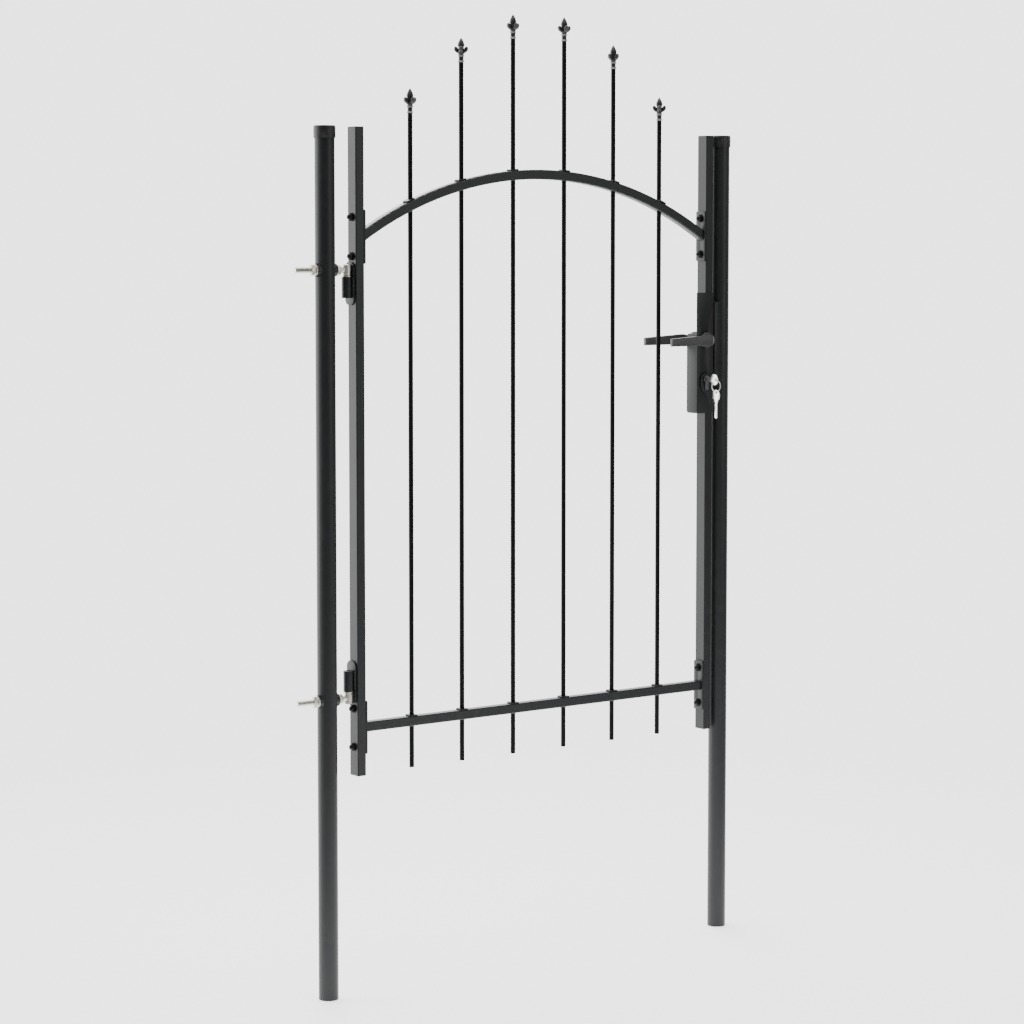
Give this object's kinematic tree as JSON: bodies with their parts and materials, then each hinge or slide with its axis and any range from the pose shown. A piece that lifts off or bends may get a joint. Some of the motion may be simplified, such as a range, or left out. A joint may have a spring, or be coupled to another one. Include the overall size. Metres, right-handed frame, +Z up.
{
  "type": "garden gate",
  "caption": "Single-leaf steel garden gate between round posts, with an arched top rail, spear-headed round bars, adjustable hinges, a lever lock and a key.",
  "frame": {"origin": "centre of the hinge post's foot", "axes": "X runs from the hinge post to the lock post, Y to the back of the gate, Z up; the key is on the front, at -Y"},
  "size_m": [1.1235, 0.115, 1.99],
  "materials": {
    "powder_coat": "satin",
    "black_steel": "satin",
    "black_plastic": "matte",
    "zinc": "bright zinc plate",
    "nickel": "satin nickel"
  },
  "bodies": {
    "posts": {"hinge_post": "powder_coat", "lock_post": "powder_coat", "hinge_post_cap": "black_plastic", "lock_post_cap": "black_plastic", "post_foot_plugs": "black_plastic", "keep": "powder_coat", "keep_screw": "zinc", "lower_hinge_bolt": "zinc", "upper_hinge_bolt": "zinc", "hinge_nuts": "zinc", "hinge_washers": "zinc", "saddle_washers": "black_plastic", "thrust_washers": "zinc"},
    "leaf": {"hinge_stile": "powder_coat", "lock_stile": "powder_coat", "stile_end_caps": "black_plastic", "arched_rail": "powder_coat", "bottom_rail": "powder_coat", "hinge_side_plates": "powder_coat", "lock_side_plates": "powder_coat", "plate_bolts": "black_steel", "plate_washers": "black_steel", "plate_cap_nuts": "black_steel", "arch_collars": "black_steel", "rail_collars": "black_steel", "lower_hinge_tab": "powder_coat", "upper_hinge_tab": "powder_coat", "lower_hinge_barrel": "powder_coat", "upper_hinge_barrel": "powder_coat", "lock_case": "powder_coat", "lock_front_plate": "powder_coat", "lock_body": "zinc", "lock_forend": "zinc", "forend_screws": "zinc", "lever_roses": "powder_coat", "cylinder_roses": "powder_coat", "lock_cylinder": "nickel", "cylinder_screw": "zinc", "bar_1": "powder_coat", "spear_head_1": "powder_coat", "bar_2": "powder_coat", "spear_head_2": "powder_coat", "bar_3": "powder_coat", "spear_head_3": "powder_coat", "bar_4": "powder_coat", "spear_head_4": "powder_coat", "bar_5": "powder_coat", "spear_head_5": "powder_coat", "bar_6": "powder_coat", "spear_head_6": "powder_coat"},
    "handle": {"front_lever": "powder_coat", "rear_lever": "powder_coat", "spindle": "zinc", "follower": "zinc"},
    "latch": {"latch_bolt": "nickel"},
    "deadbolt": {"dead_bolt": "nickel"},
    "key": {"cylinder_plug": "nickel", "door_key": "nickel"},
    "ring": {"key_ring": "nickel", "spare_key": "nickel"}
  },
  "joints": [
    {"name": "leaf_swing", "type": "hinge", "parent": "posts", "child": "leaf", "pos_m": [0.0505, 0, 1.037], "axis": [0, 0, 1], "range_deg": [-95, 88]},
    {"name": "handle_turn", "type": "hinge", "parent": "leaf", "child": "handle", "pos_m": [0.975, 0, 1.308], "axis": [0, -1, 0], "range_deg": [0, 40], "stiffness_Nm_per_rad": 1, "springref_deg": -28.65},
    {"name": "latch_slide", "type": "slide", "parent": "leaf", "child": "latch", "axis": [-1, 0, 0], "range_m": [0, 0.01]},
    {"name": "key_turn", "type": "hinge", "parent": "leaf", "child": "key", "pos_m": [0.975, 0, 1.222], "axis": [0, 1, 0], "range_deg": [0, 360]},
    {"name": "deadbolt_throw", "type": "slide", "parent": "leaf", "child": "deadbolt", "axis": [1, 0, 0], "range_m": [0, 0.014]},
    {"name": "ring_swing", "type": "hinge", "parent": "key", "child": "ring", "pos_m": [0.975, -0.054, 1.222], "axis": [1, 0, 0], "range_deg": [-60, 18]}
  ],
  "couplings": [
    {"joint": "latch_slide", "follows": "handle_turn", "m_per_rad": 0.01418},
    {"joint": "deadbolt_throw", "follows": "key_turn", "m_per_rad": 0.002212}
  ]
}
